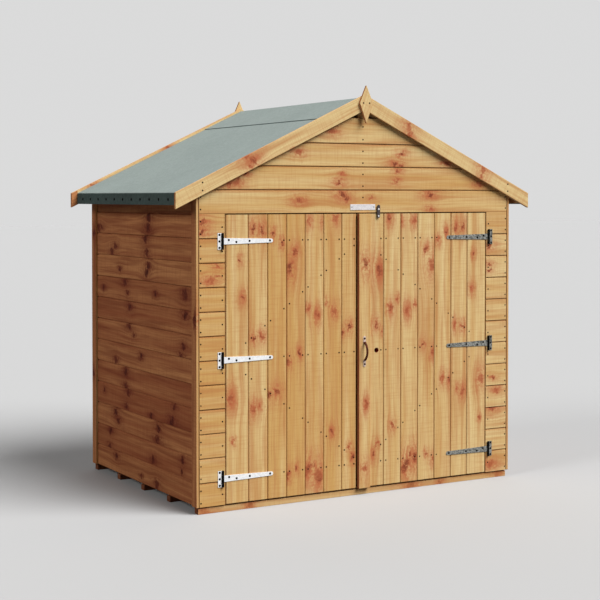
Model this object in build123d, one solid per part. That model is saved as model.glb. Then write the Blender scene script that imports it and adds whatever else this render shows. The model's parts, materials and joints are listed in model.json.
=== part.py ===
from build123d import *
import math
import os

# A small apex garden shed: framed walls, boarded double doors, felted roof.
# X runs along the front, the front faces -Y, and Z = 0 is the ground. Millimetres.

# Walls
wall_width = 1800.0      # over the corner trims
wall_depth = 1267.0      # over the front and back cladding
clad_thick = 12.0
clad_bottom = 33.0
course = 112.0           # one cladding board
door_courses = 12        # boards up to the door head
trim_thick = 12.0
trim_width = 50.0
frame_depth = 28.0       # framing, through the wall
frame_face = 44.0        # framing, along the wall
rail_height = 28.0
side_stud_count = 4
back_stud_share = 0.33   # back wall's middle studs, from the centre line to the corner

# Floor
bearer_count = 5
bearer_width = 38.0
bearer_height = 28.0     # clear of the doors above
bearer_forward = 4.0     # front bearer's face, ahead of the framing
deck_thick = 12.0

# Doors
panel_width = 134.5      # cladding beside the doorway
door_gap = 5.0           # all round each leaf
ledge_height = 70.0
ledge_thick = 20.0
ledge_inset = 30.0       # from the leaf's side edges
brace_width = 62.0
brace_foot = 12.5        # brace's middle line at the middle ledge's, from the leaf's hinge edge
hinge_inset = 122.0      # outer hinges, from the leaf's ends
strip_width = 67.0
strip_thick = 14.0
strip_shift = 3.0        # strip's middle, right of the centre line

# Hinges
pin_radius = 2.6
knuckle_radius = 5.5
pin_fit = 0.3
knuckle_fit = 0.5
hinge_setback = 18.5     # pin axis, outside the leaf's edge
plate_height = 76.0
plate_width = 24.0
hinge_thick = 2.5
strap_length = 247.0
strap_root = 30.0
strap_tip = 18.0

# Handle, lock and turn button
handle_shift = 0.5       # right of the centre line
handle_span = 116.0      # between the feet's middles
handle_reach = 30.0      # proud of the strip
handle_bar = 9.0         # breadth
handle_thick = 6.0
foot_width = 15.0
foot_height = 34.0
foot_thick = 3.0
keyhole_shift = 80.0
keyhole_width = 25.0
lock_width = 96.0
lock_height = 62.0
lock_thick = 18.0
lock_round = 4.0
button_shift = 87.0
button_rise = 17.0       # pivot, above the door head
button_above = 21.0      # pivot to the short end
button_below = 43.0      # pivot to the long end
button_width = 16.0
button_thick = 3.0
button_boss = 5.0

# Roof
roof_pitch = 25.2
eave_rise = 122.5        # door head to the roof boards, at the side cladding
roof_board = 12.0
felt_thick = 3.0
eave_overhang = 79.0     # outer face of the eave, beyond the wall
eave_band = 57.0         # felt turned down over the eave
eave_batten_inset = 4.0  # batten's underside, above the felt's lower edge
ridge_felt_reach = 225.0
ridge_felt_thick = 2.0
batten_width = 44.0
batten_depth = 28.0
mid_batten_share = 0.5   # of the way from ridge to wall
gable_drop = 99.0        # gable's level top, below the ridge
roof_fit = 1.0

# Bargeboards and finials
barge_thick = 16.0
barge_height = 75.5      # measured upright
barge_rise = 15.0        # above the felt
barge_overhang = 111.0   # beyond the wall
barge_gap = 4.0          # between the cladding and the bargeboard's back
finial_half_width = 38.0
finial_rise = 58.0       # tip, above the ridge
finial_middle_drop = 27.0
finial_bottom_drop = 126.0
finial_thick = 12.0

# Places worked out from the sizes above
slope = math.tan(math.radians(roof_pitch))
upright = 1 / math.cos(math.radians(roof_pitch))
half_clad = wall_width / 2 - trim_thick
half_frame = half_clad - clad_thick
half_room = half_frame - frame_depth
front_face = -wall_depth / 2
front_frame = front_face + clad_thick
front_inner = front_frame + frame_depth
floor_edge = front_frame + door_gap
floor_top = bearer_height + deck_thick
head_height = clad_bottom + course * door_courses
ridge_height = head_height + eave_rise + half_clad * slope + (roof_board + felt_thick) * upright
eave_reach = wall_width / 2 + eave_overhang
barge_reach = wall_width / 2 + barge_overhang
gable_top = ridge_height - gable_drop
back_stud_shift = half_frame * back_stud_share
half_opening = half_clad - panel_width
leaf_edge = half_opening - door_gap
leaf_top = head_height - door_gap
leaf_middle = (clad_bottom + leaf_top) / 2
hinge_heights = [clad_bottom + hinge_inset, leaf_middle, leaf_top - hinge_inset]
button_pivot = head_height + button_rise
strip_left = strip_shift - strip_width / 2
strip_face = front_face - strip_thick
pin_x = leaf_edge + hinge_setback
pin_y = front_face - knuckle_radius - knuckle_fit
stud_bottom = floor_top + rail_height
side_rail_bottom_drop = rail_height * upright
barge_back = front_face - barge_gap
barge_front = barge_back - barge_thick
corner = (Align.MIN, Align.MIN, Align.MIN)


def felt_top(x):
    return ridge_height - abs(x) * slope


def board_top(x):
    return felt_top(x) - felt_thick * upright


def board_under(x):
    return board_top(x) - roof_board * upright


def eave_bottom():
    return felt_top(eave_reach) - eave_band


def block(x0, x1, y0, y1, z0, z1):
    """A straight piece between two corners."""
    return Pos(x0, y0, z0) * Box(x1 - x0, y1 - y0, z1 - z0, align=corner)


def slab(outline, y0, y1):
    """An upright outline in X and Z, given thickness along Y."""
    points = [(x, y0, z) for x, z in outline]
    face = make_face(Polyline(*points, close=True))
    return extrude(face, amount=y1 - y0, dir=(0, 1, 0))


def to_right(piece):
    return mirror(piece, about=Plane.YZ)


def to_back(piece):
    return mirror(piece, about=Plane.XZ)


def both_sides(piece):
    return [piece, to_right(piece)]


def spread(first, last, count):
    """Evenly spaced places from first to last."""
    step = (last - first) / (count - 1)
    return [first + step * i for i in range(count)]


# Floor


def floor_bearers():
    half = bearer_width / 2
    front = front_frame - bearer_forward + half
    places = spread(front, -front, bearer_count)
    return [block(-half_clad, half_clad, y - half, y + half, 0, bearer_height) for y in places]


def floor_deck():
    return block(-half_frame, half_frame, floor_edge, -floor_edge, bearer_height, floor_top)


# Side walls


def left_cladding():
    top = board_under(half_clad) - roof_fit
    return block(-half_clad, -half_frame, front_frame, -front_frame, clad_bottom, top)


def side_rail_bottom():
    return board_under(half_frame) - side_rail_bottom_drop


def left_studs():
    half = frame_face / 2
    places = spread(front_inner + half, -front_inner - half, side_stud_count)
    top = side_rail_bottom()
    return [block(-half_frame, -half_room, y - half, y + half, stud_bottom, top) for y in places]


def left_rails():
    """A flat bottom rail, and a top rail planed to the roof's pitch."""
    bottom = block(-half_frame, -half_room, front_inner, -front_inner, floor_top, stud_bottom)
    outline = [
        (-half_frame, side_rail_bottom()),
        (-half_room, side_rail_bottom()),
        (-half_room, board_under(half_room)),
        (-half_frame, board_under(half_frame)),
    ]
    return [bottom, slab(outline, front_inner, -front_inner)]


# Front and back walls


def front_left_panel():
    return block(-half_clad, -half_opening, front_face, front_frame, clad_bottom, head_height)


def gable_outline(bottom, top):
    """The end wall's outline under the roof boards, cut level at the top."""
    half_top = (board_under(0) - roof_fit - top) / slope
    eave = board_under(half_clad) - roof_fit
    left = [(-half_clad, bottom), (-half_clad, eave), (-half_top, top)]
    right = [(-x, z) for x, z in reversed(left)]
    return left + right


def front_gable():
    return slab(gable_outline(head_height, gable_top), front_face, front_frame)


def back_cladding():
    return slab(gable_outline(clad_bottom, gable_top), -front_frame, -front_face)


def rafter_under(x):
    return board_under(x) - frame_face * upright


def left_rafter():
    """A gable rafter from the king stud to the corner, ends cut upright."""
    inner = frame_face / 2
    outline = [
        (-half_frame, rafter_under(half_frame)),
        (-inner, rafter_under(inner)),
        (-inner, board_under(inner)),
        (-half_frame, board_under(half_frame)),
    ]
    return slab(outline, front_frame, front_inner)


def corner_stud():
    inner = half_frame - frame_face
    outline = [
        (-half_frame, stud_bottom),
        (-inner, stud_bottom),
        (-inner, rafter_under(inner)),
        (-half_frame, rafter_under(half_frame)),
    ]
    return slab(outline, front_frame, front_inner)


def king_stud():
    half = frame_face / 2
    bottom = head_height + frame_face
    outline = [
        (-half, bottom),
        (half, bottom),
        (half, board_under(half)),
        (0, board_under(0)),
        (-half, board_under(half)),
    ]
    return slab(outline, front_frame, front_inner)


def upright_post(x0, x1):
    return block(x0, x1, front_frame, front_inner, stud_bottom, head_height)


def head_rail():
    half = half_frame - frame_face
    return block(-half, half, front_frame, front_inner, head_height, head_height + frame_face)


def front_studs():
    post = upright_post(-half_opening - frame_face, -half_opening)
    return both_sides(corner_stud()) + both_sides(post) + [king_stud()]


def front_rails():
    bottom = block(-half_frame, -half_opening, front_frame, front_inner, floor_top, stud_bottom)
    return both_sides(bottom) + [head_rail()]


def back_studs():
    half = frame_face / 2
    middle = upright_post(-back_stud_shift - half, -back_stud_shift + half)
    studs = both_sides(corner_stud()) + both_sides(middle) + [king_stud()]
    return [to_back(stud) for stud in studs]


def back_rails():
    bottom = block(-half_frame, half_frame, front_frame, front_inner, floor_top, stud_bottom)
    return [to_back(bottom), to_back(head_rail())]


def corner_trims():
    top = board_under(half_clad + trim_thick) - roof_fit
    left = block(-half_clad - trim_thick, -half_clad, front_face, front_face + trim_width, clad_bottom, top)
    front = both_sides(left)
    return front + [to_back(trim) for trim in front]


# Doors, each made with its hinge edge at +X and its free edge at free_x


def door_boards(free_x):
    return block(free_x, leaf_edge, front_face, front_frame, clad_bottom, leaf_top)


def ledge_span(free_x):
    return free_x + ledge_inset, leaf_edge - ledge_inset


def door_ledges(free_x):
    x0, x1 = ledge_span(free_x)
    half = ledge_height / 2
    back = front_frame + ledge_thick
    return [block(x0, x1, front_frame, back, z - half, z + half) for z in hinge_heights]


def door_braces(free_x):
    """Two diagonals from the shed's centre line to the hinge end of the middle ledge, cut to the ledges."""
    x0, x1 = ledge_span(free_x)
    half = ledge_height / 2
    low, middle, high = hinge_heights
    back = front_frame + ledge_thick
    run = leaf_edge - brace_foot
    braces = []
    for outer, bottom, top in ((high, middle + half, high - half), (low, low + half, middle - half)):
        climb = (middle - outer) / run
        half_upright = math.hypot(1, climb) * brace_width / 2
        near = outer + climb * x0
        far = outer + climb * x1
        outline = [
            (x0, near - half_upright),
            (x0, near + half_upright),
            (x1, far + half_upright),
            (x1, far - half_upright),
        ]
        room = block(x0, x1, front_frame, back, bottom, top)
        braces.append((slab(outline, front_frame, back) & room).solid())
    return braces


def keyhole():
    """The key's way through the board and the ledge behind it."""
    depth = clad_thick + ledge_thick
    axis = Plane((keyhole_shift, front_face, leaf_middle), z_dir=(0, 1, 0))
    return extrude(axis * Circle(keyhole_width / 2), amount=depth)


def right_door_boards():
    return door_boards(strip_left) - keyhole()


def right_door_ledges():
    low, middle, high = door_ledges(strip_left)
    return [low, middle - keyhole(), high]


def left_free_x():
    """The left leaf's free edge, seen as if the leaf were on the right."""
    return -strip_left + door_gap


def meeting_strip():
    strip = block(strip_left, strip_left + strip_width, strip_face, front_face, clad_bottom, leaf_top)
    rounded = strip.edges().filter_by(Axis.Z).group_by(Axis.Y)[0]
    return fillet(rounded, strip_thick / 4)


def lock_case():
    y0 = front_frame + ledge_thick
    half_wide = lock_width / 2
    half_high = lock_height / 2
    case = block(
        keyhole_shift - half_wide,
        keyhole_shift + half_wide,
        y0,
        y0 + lock_thick,
        leaf_middle - half_high,
        leaf_middle + half_high,
    )
    return fillet(case.faces().sort_by(Axis.Y)[-1].edges(), lock_round)


# Strap hinges on the right side, mirrored for the left


def upright_rod(radius, z0, z1):
    return Pos(pin_x, pin_y, z0) * Cylinder(radius, z1 - z0, align=(Align.CENTER, Align.CENTER, Align.MIN))


def hinge_plate(height):
    """The screwed plate, its two knuckles and the pin between them."""
    low = height - plate_height / 2
    high = height + plate_height / 2
    half_root = strap_root / 2 + knuckle_fit
    y0 = front_face - hinge_thick
    plate = block(pin_x, pin_x + plate_width, y0, front_face, low, high)
    room = block(
        pin_x - knuckle_radius,
        pin_x + knuckle_radius + knuckle_fit,
        front_face - knuckle_radius * 2 - knuckle_fit,
        front_face,
        height - half_root,
        height + half_root,
    )
    knuckles = upright_rod(knuckle_radius, low, high)
    return plate + knuckles - room + upright_rod(pin_radius, low, high)


def hinge_strap(height):
    """The tapering strap with a rounded tip and its bored knuckle."""
    half_root = strap_root / 2
    half_tip = strap_tip / 2
    tip_x = leaf_edge - strap_length + half_tip
    y0 = front_face - hinge_thick
    outline = [
        (pin_x, height - half_root),
        (pin_x, height + half_root),
        (tip_x, height + half_tip),
        (tip_x, height - half_tip),
    ]
    end_plane = Plane((tip_x, y0, height), z_dir=(0, 1, 0))
    end = extrude(end_plane * Circle(half_tip), amount=hinge_thick)
    knuckle = upright_rod(knuckle_radius, height - half_root, height + half_root)
    bore = upright_rod(pin_radius + pin_fit, height - half_root, height + half_root)
    return slab(outline, y0, front_face) + end + knuckle - bore


# Handle and turn button


def foot(z):
    plane = Plane((handle_shift, strip_face, z), x_dir=(1, 0, 0), z_dir=(0, -1, 0))
    shape = SlotOverall(foot_height, foot_width, rotation=90)
    return extrude(plane * shape, amount=foot_thick)


def handle_arc(half, reach):
    """One edge of the bow, from foot to foot."""
    side = handle_shift - handle_bar / 2
    low = (side, strip_face, leaf_middle - half)
    crown = (side, strip_face - reach, leaf_middle)
    high = (side, strip_face, leaf_middle + half)
    return ThreePointArc(low, crown, high)


def door_handle():
    """A bowed flat bar on the inner ends of two oblong feet."""
    half = (handle_span - foot_height + handle_bar) / 2
    outer = handle_arc(half + handle_bar / 2, handle_reach)
    inner = handle_arc(half - handle_bar / 2, handle_reach - handle_thick)
    ends = [Line(outer @ i, inner @ i) for i in (0, 1)]
    bow = extrude(make_face([outer, inner] + ends), amount=handle_bar, dir=(1, 0, 0))
    feet = [foot(leaf_middle + shift) for shift in (-handle_span / 2, handle_span / 2)]
    return bow + feet[0] + feet[1]


def turn_button():
    """A flat bar with round ends on a boss, its long end over the door."""
    y0 = front_face - button_boss
    length = button_above + button_below
    middle = button_pivot + (button_above - button_below) / 2
    plane = Plane((button_shift, y0, middle), x_dir=(1, 0, 0), z_dir=(0, -1, 0))
    bar = extrude(plane * SlotOverall(length, button_width, rotation=90), amount=button_thick)
    boss_plane = Plane((button_shift, front_face, button_pivot), z_dir=(0, -1, 0))
    boss = extrude(boss_plane * Circle(button_width / 2), amount=button_boss)
    return bar + boss


# Roof


def left_roof_boards():
    eave = eave_reach - felt_thick
    outline = [
        (0, board_under(0)),
        (0, board_top(0)),
        (-eave, board_top(eave)),
        (-eave, board_under(eave)),
    ]
    return slab(outline, barge_back, -barge_back)


def slope_batten(x0, x1, y0, y1):
    """A batten under the roof boards, between two distances from the ridge."""
    drop = batten_depth * upright
    outline = [
        (-x0, board_under(x0)),
        (-x1, board_under(x1)),
        (-x1, board_under(x1) - drop),
        (-x0, board_under(x0) - drop),
    ]
    return slab(outline, y0, y1)


def left_roof_battens():
    """A ridge batten, a middle one, and the eave's with an upright face."""
    run = batten_width / upright
    middle = half_room * mid_batten_share
    ridge = slope_batten(frame_face / 2, frame_face / 2 + run, front_inner, -front_inner)
    centre = slope_batten(middle, middle + run, front_inner, -front_inner)
    outer = eave_reach - felt_thick
    inner = outer - batten_depth
    bottom = eave_bottom() + eave_batten_inset
    outline = [
        (-outer, bottom),
        (-outer, board_under(outer)),
        (-inner, board_under(inner)),
        (-inner, bottom),
    ]
    return [ridge, centre, slab(outline, barge_back, -barge_back)]


def left_roof_felt():
    """The sheet on the slope, turned down over the eave."""
    inner = eave_reach - felt_thick
    outline = [
        (0, board_top(0)),
        (0, felt_top(0)),
        (-eave_reach, felt_top(eave_reach)),
        (-eave_reach, eave_bottom()),
        (-inner, eave_bottom()),
        (-inner, board_top(inner)),
    ]
    return slab(outline, barge_back, -barge_back)


def ridge_felt():
    reach = ridge_felt_reach
    rise = ridge_felt_thick * upright
    outline = [
        (-reach, felt_top(reach)),
        (0, felt_top(0)),
        (reach, felt_top(reach)),
        (reach, felt_top(reach) + rise),
        (0, felt_top(0) + rise),
        (-reach, felt_top(reach) + rise),
    ]
    return slab(outline, barge_back, -barge_back)


def front_left_bargeboard():
    top_middle = ridge_height + barge_rise
    top_end = felt_top(barge_reach) + barge_rise
    outline = [
        (0, top_middle),
        (-barge_reach, top_end),
        (-barge_reach, top_end - barge_height),
        (0, top_middle - barge_height),
    ]
    return slab(outline, barge_front, barge_back)


def front_finial():
    middle = ridge_height - finial_middle_drop
    outline = [
        (0, ridge_height - finial_bottom_drop),
        (finial_half_width, middle),
        (0, ridge_height + finial_rise),
        (-finial_half_width, middle),
    ]
    return slab(outline, barge_front - finial_thick, barge_front)


def mirrored(pieces):
    return [to_right(piece) for piece in pieces]


def build():
    """Every piece by its name; a list holds like pieces that don't touch."""
    strip_free = strip_left
    left_free = left_free_x()
    plates = [hinge_plate(z) for z in hinge_heights]
    straps = [hinge_strap(z) for z in hinge_heights]
    barge = front_left_bargeboard()
    return {
        "floor_bearers": floor_bearers(),
        "floor_deck": [floor_deck()],
        "left_cladding": [left_cladding()],
        "left_studs": left_studs(),
        "left_rails": left_rails(),
        "right_cladding": mirrored([left_cladding()]),
        "right_studs": mirrored(left_studs()),
        "right_rails": mirrored(left_rails()),
        "back_cladding": [back_cladding()],
        "back_studs": back_studs(),
        "back_rails": back_rails(),
        "back_rafters": [to_back(rafter) for rafter in both_sides(left_rafter())],
        "front_left_panel": [front_left_panel()],
        "front_right_panel": mirrored([front_left_panel()]),
        "front_gable": [front_gable()],
        "front_studs": front_studs(),
        "front_rails": front_rails(),
        "front_rafters": both_sides(left_rafter()),
        "corner_trims": corner_trims(),
        "left_door_boards": mirrored([door_boards(left_free)]),
        "left_door_ledges": mirrored(door_ledges(left_free)),
        "left_door_braces": mirrored(door_braces(left_free)),
        "right_door_boards": [right_door_boards()],
        "right_door_ledges": right_door_ledges(),
        "right_door_braces": door_braces(strip_free),
        "meeting_strip": [meeting_strip()],
        "left_hinge_plates": mirrored(plates),
        "left_hinge_straps": mirrored(straps),
        "right_hinge_plates": plates,
        "right_hinge_straps": straps,
        "door_handle": [door_handle()],
        "lock_case": [lock_case()],
        "turn_button": [turn_button()],
        "left_roof_boards": [left_roof_boards()],
        "right_roof_boards": mirrored([left_roof_boards()]),
        "left_roof_battens": left_roof_battens(),
        "right_roof_battens": mirrored(left_roof_battens()),
        "left_roof_felt": [left_roof_felt()],
        "right_roof_felt": mirrored([left_roof_felt()]),
        "ridge_felt": [ridge_felt()],
        "front_left_bargeboard": [barge],
        "front_right_bargeboard": [to_right(barge)],
        "back_left_bargeboard": [to_back(barge)],
        "back_right_bargeboard": [to_back(to_right(barge))],
        "finials": [front_finial(), to_back(front_finial())],
    }


os.makedirs("parts", exist_ok=True)
for name, pieces in build().items():
    shape = pieces[0] if len(pieces) == 1 else Compound(pieces)
    export_step(shape, f"parts/{name}.step")
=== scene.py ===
"""Looks of a small apex garden shed: dipped pine boards, mineral felt and galvanised hinges."""
import json
import math
import random

import bmesh
import bpy
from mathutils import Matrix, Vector

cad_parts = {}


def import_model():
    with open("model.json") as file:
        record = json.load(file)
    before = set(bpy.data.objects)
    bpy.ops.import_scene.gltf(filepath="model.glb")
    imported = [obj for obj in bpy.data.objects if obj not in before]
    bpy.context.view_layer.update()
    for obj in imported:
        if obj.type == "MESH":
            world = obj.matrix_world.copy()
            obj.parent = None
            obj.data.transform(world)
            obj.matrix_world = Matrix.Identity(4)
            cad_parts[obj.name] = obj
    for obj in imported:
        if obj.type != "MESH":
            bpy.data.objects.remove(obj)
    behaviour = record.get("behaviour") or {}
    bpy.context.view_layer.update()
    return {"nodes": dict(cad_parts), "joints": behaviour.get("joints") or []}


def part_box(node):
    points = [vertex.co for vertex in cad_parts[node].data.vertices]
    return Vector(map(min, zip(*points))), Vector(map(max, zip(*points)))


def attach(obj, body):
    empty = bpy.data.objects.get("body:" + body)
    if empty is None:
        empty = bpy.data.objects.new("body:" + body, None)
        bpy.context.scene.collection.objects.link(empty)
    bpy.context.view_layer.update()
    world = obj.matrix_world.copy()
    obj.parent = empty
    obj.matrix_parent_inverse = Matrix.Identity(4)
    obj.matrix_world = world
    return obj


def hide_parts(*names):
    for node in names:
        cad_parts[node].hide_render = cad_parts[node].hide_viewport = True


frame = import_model()

X_AXIS = Vector((1, 0, 0))
Y_AXIS = Vector((0, 1, 0))
Z_AXIS = Vector((0, 0, 1))
MM = 0.001

# Boards, with lengths in metres
DOOR_COURSES = 12
SCOOP_HEIGHT = 0.009     # hollow at a cladding board's top edge
SCOOP_DEPTH = 0.006
SCOOP_SHARES = [(1.0, 0.0), (0.7, 0.4), (0.45, 0.8), (0.25, 1.0)]  # of its height and depth
HOLLOW_TILT = (0.3, 0.98)  # how far the hollow's faces look up
TONGUE = 0.006
FACE_CHAMFER = 0.0012
DOOR_FIRST_BOARD = 0.118
DOOR_BOARD = 0.102
DOOR_BOARD_COUNT = 5
GROOVE_WIDTH = 0.0045
GROOVE_DEPTH = 0.0035
BOARD_GAP = 0.0014
CLAD_STAGGER = 0.0006    # how unevenly boards stand
DOOR_STAGGER = 0.0005
LAST_COURSE_SHARE = 0.3  # a narrower top course joins the one below
DOOR_FOOT = 0.004        # more room between the door boards and the plinth
END_GAP = 0.004          # between the front boards and the corner trims
FLOOR_BOARD = 0.1
ROOF_BOARD = 0.1
TIMBER_BEVEL = 0.0014
FRAME_STEP = 0.02        # the front bearer shows within this of the front face
METAL_BEVEL = 0.0005
LAP_BEAD = 0.006         # bitumen along the ridge strip
LAP_RISE = 0.001
LAP_OVER_SHARE = 0.2
LAP_EDGE_SHARE = 0.5
FOLD_RADIUS = 0.004      # of the felt at the eave
FOLD_STEPS = 3
FOLD_ABOVE = 0.01        # the fold lies higher than this on the band
KNOT_SLOTS = 8
KNOT_SPREAD = 1.3
KNOT_WARP = 0.045        # how far noise bends a knot out of round
KNOT_VARIETY = 9.0       # how fast knots change between soft and dark
LEAN_ROOM = (0.01, 0.98)  # start and length of a lean's share of a fraction, clear of whole numbers
WELD = MM * 0.01         # points closer than this are one
FLAT_ANGLE = math.radians(1)
SHARP_ANGLE = math.radians(25)

# How square a face looks along an axis
FACING = 0.7
LEVEL = 0.5
SQUARE = 0.1
TAIL_INWARD = 0.3        # times the distance from the middle, in metres

# Small fixings: lengths in metres, shares of a course's height, a bore's radius, a step or a band
NAIL_RADIUS = 0.004
NAIL_SINK = 0.0004
NAIL_EDGE = 0.015        # from a door board's edge
CORNER_NAIL_EDGE = 0.011
CORNER_NAIL_SHARES = (0.17, 0.68)
JAMB_NAIL_EDGE = 0.013
JAMB_NAIL_SHARE = 0.45
GABLE_NAIL_SHARES = (0.15, 0.66)
BARGE_NAIL_X = 0.876
BARGE_NAIL_DROPS = (0.0175, 0.054)
FINIAL_NAIL_X = 0.017
FINIAL_NAIL_DROP = 0.042
BORE_SIDES = 40
BORE_DEPTH_SHARE = 8
KEYHOLE_WALL_SHARE = 1.02
KEYHOLE_CLEAR_SHARE = 1.4
CLOUT_RADIUS = 0.007
CLOUT_PROUD = 0.0025
CLOUT_COUNT = 12
CLOUT_START_SHARE = 0.25
CLOUT_HEIGHT_SHARE = 0.45
SCREW_RADIUS = 0.0055
BUTTON_HEAD = 0.0048
HEAD_PROUD = 0.0006
HEAD_SIDES = 10
HEAD_RINGS = ((1.0, -1.0), (1.0, 0.5), (0.6, 1.0))  # shares of a head's radius and rise
STRAP_SCREWS = [(0.033, 0.0055), (0.072, -0.004), (0.141, 0), (0.249, 0)]
PLATE_SCREW_EDGE = 0.0085
PLATE_SCREW_STEP = 0.03
HINGE_STEEL = 0.0025
BARREL_RADIUS = 0.0064
# Barrel faces are black unless they look further right than this: on the right hinges the black left side is
# painted shade
BARREL_SHADE_FACING = {"left": 2.0, "right": 0.3}  # faces that look further right stay bright
FOOT_SCREW = 0.0125      # from a handle foot's outer end
FOOT_THICK = 0.003
HANDLE_BEVEL = 0.0012
SIGN_PLATE = ((-0.073, 1.39), (0.07, 1.418))
SIGN_THICK = 0.002
SIGN_BEVEL = 0.0004
SIGN_PIN = 0.0025
SIGN_PIN_INSET = 0.008

# Depth of stain, as a range to draw from
PLAIN_TONE = (0.1, 0.9)
PANEL_TONES = {"left": (0.5, 1.2), "right": (0.1, 0.5)}
DOOR_TONES = {"left": (0.45, 1.0), "right": (0.1, 0.5)}
BEARER_TONE = (0.3, 0.6)
TRIM_TONE = (0.4, 0.5)
FINIAL_TONE = (-0.8, -0.6)
STRIP_TONE = (0.7, 0.9)
BARGE_TONE = (-0.4, 0.0)

# Random knots: lengths in metres, radii in millimetres, leans in degrees
CLAD_SPACING = 0.35
FLOOR_SPACING = 0.45
ROOF_SPACING = 0.4
TIMBER_SPACING = 0.5
TRIM_SPACING = 0.9
NO_KNOTS = 9.0           # a spacing longer than any timber
FIRST_KNOT = 0.1
LAST_KNOT = 0.05
KNOT_RADII = (8, 18)
KNOT_RADIUS_TO_WIDTH = 300
KNOT_LEANS = (20, 80)
KNOT_ACROSS_SHARES = (0.25, 0.75)
TWIN_CHANCE = 0.5
TWIN_STEP = 0.04
TWIN_ACROSS_SHARES = (0.15, 0.85)
TWIN_SHARE = 0.7
SPACING_SHARES = (0.6, 1.5)

# First seed of each group of boards or timbers
SEEDS = {
    "side": 11, "gable": 21, "panel": 24, "back": 27, "door": 31, "floor": 41, "roof": 51, "frame": 100,
    "door_frame": 120, "bearers": 130, "finials": 132, "strip": 133, "trims": 134, "barge": 140,
}

# Grain layers: changes a metre along and across a board, and detail
GRAIN = {
    "broad": (0.9, 22.0, 2.0), "blush": (1.6, 30.0, 2.0),
    "figure": (3.0, 75.0, 2.0), "fine": (9.0, 260.0, 3.0),
}
CHATTER = (150.0, 8.0)   # planer marks, along and across
SEED_STEP = 37.0         # how far apart boards lie in the noise
WARP_SCALE = 48.0
RING_RATE = 420.0        # growth rings across a board
RING_SWAY = 34.0         # how far the broad layer moves them
RING_SHARE = 0.16

# Where a layer starts to redden the wood, where it is full, and how red it is there
REDNESS = {
    "blush": (0.46, 0.72, 0.6), "figure": (0.46, 0.72, 0.4),
    "fine": (0.48, 0.78, 0.35), "chatter": (0.45, 0.7, 0.2),
}

# How fast a knot's glow and its bend of the grain fade along and across, in squared radii
GLOW_FADE = (-0.11, -0.4)
BEND_FADE = (-0.09, -0.22)
BEND_SHARE = 0.75
FAR = 9.0                # more radii than any knot reaches
NO_KNOT = (99.0, 99.0, 0.0)

# Camera, fitted to the board lines and wall corners of the photograph
CAMERA_PLACE = (-3.6549, -6.3061, 1.4544)
CAMERA_YAW = 30.195
CAMERA_PITCH = 1.5
CAMERA_LENS = 83.18
CAMERA_SHIFT = -0.1116
SENSOR_WIDTH = 36

# Light, with the background as bright as the floor
AMBIENT = 0.05
BACKGROUND = 0.705
FLOOR_REACH = 60.0
FLOOR_SEEN = (177, 177, 177)
FLOOR_BOUNCE = (96, 96, 96)
WHITE = (1, 1, 1, 1)

# Lamps: the way toward each, its strength and its width in degrees
SUNS = {
    "key": ((0.36, -0.55, 0.75), 5.05, 42),
    "left_fill": ((-0.85, -0.1, 0.5), 1.16, 24),
    "back_fill": ((0.35, 0.75, 0.55), 0.6, 60),
}

# Knots by place, radius in millimetres and lean in degrees from the grain.
# A door's are given for the right leaf and turned over for the left one.
DOOR_KNOTS = [
    (0.558, 1.3, 15, -15), (0.606, 1.305, 16, 10), (0.5, 1.28, 11, -30), (0.156, 1.35, 15, 50),
    (0.223, 1.337, 12, 20), (0.306, 1.339, 13, 0), (0.377, 1.192, 14, -40), (0.412, 1.115, 25, 10),
    (0.45, 1.237, 11, -20), (0.674, 1.163, 9, -20), (0.162, 0.904, 14, -35),
    (0.204, 0.95, 8, -20), (0.26, 0.89, 16, -35), (0.309, 0.921, 9, -30), (0.078, 0.827, 12, 0),
    (0.117, 0.796, 9, 10), (0.555, 0.805, 13, -30), (0.602, 0.798, 12, 35), (0.355, 0.717, 11, -30),
    (0.418, 0.673, 13, 5), (0.661, 0.986, 12, -40), (0.478, 0.538, 14, -50), (0.523, 0.525, 14, 35),
    (0.606, 0.464, 15, -20), (0.57, 0.48, 8, 30), (0.723, 0.519, 20, 15), (0.174, 0.323, 11, -35),
    (0.06, 0.192, 12, -10), (0.081, 0.241, 9, -25), (0.253, 0.117, 28, -22), (0.312, 0.15, 24, 36),
    (0.28, 0.173, 8, 0), (0.377, 0.166, 9, 20), (0.421, 0.133, 13, 20), (0.71, 0.321, 8, 0),
]
RIGHT_DOOR_KNOTS = [(0.099, 1.095, 24, 30)]
STRIP_KNOTS = [(0.008, 1.13, 22, 20), (0.012, 0.443, 15, 5), (0.003, 0.13, 14, 25)]
PANEL_KNOTS = [
    (-0.865, 1.342, 14, 80), (-0.867, 1.296, 16, 55), (-0.791, 1.133, 10, -35), (-0.795, 1.091, 10, 30),
    (-0.828, 1.071, 18, 25), (0.773, 1.201, 15, 60), (0.773, 1.111, 11, -60), (0.773, 1.079, 12, 40),
    (0.799, 0.522, 8, 20), (0.819, 0.452, 13, -40), (0.799, 0.367, 20, 15), (0.785, 0.072, 20, 50),
]
GABLE_KNOTS = [
    (0.225, 1.665, 12, 30), (0.186, 1.614, 15, 50), (0.222, 1.61, 10, 0), (0.204, 1.577, 10, -50),
    (0.198, 1.531, 10, 70), (-0.12, 1.562, 8, 60), (-0.137, 1.527, 13, 60), (-0.36, 1.436, 15, -50),
    (-0.119, 1.465, 17, -42), (-0.093, 1.445, 14, 80), (0.047, 1.448, 10, 20), (0.399, 1.465, 16, -42),
    (0.402, 1.394, 12, 45), (-0.362, 1.664, 12, -30), (-0.175, 1.768, 15, 20), (0.701, 1.52, 14, -30),
    (0.503, 1.62, 15, -20), (-0.69, 1.523, 16, 25), (-0.725, 1.512, 12, -10), (-0.648, 1.559, 12, 35),
]
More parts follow.
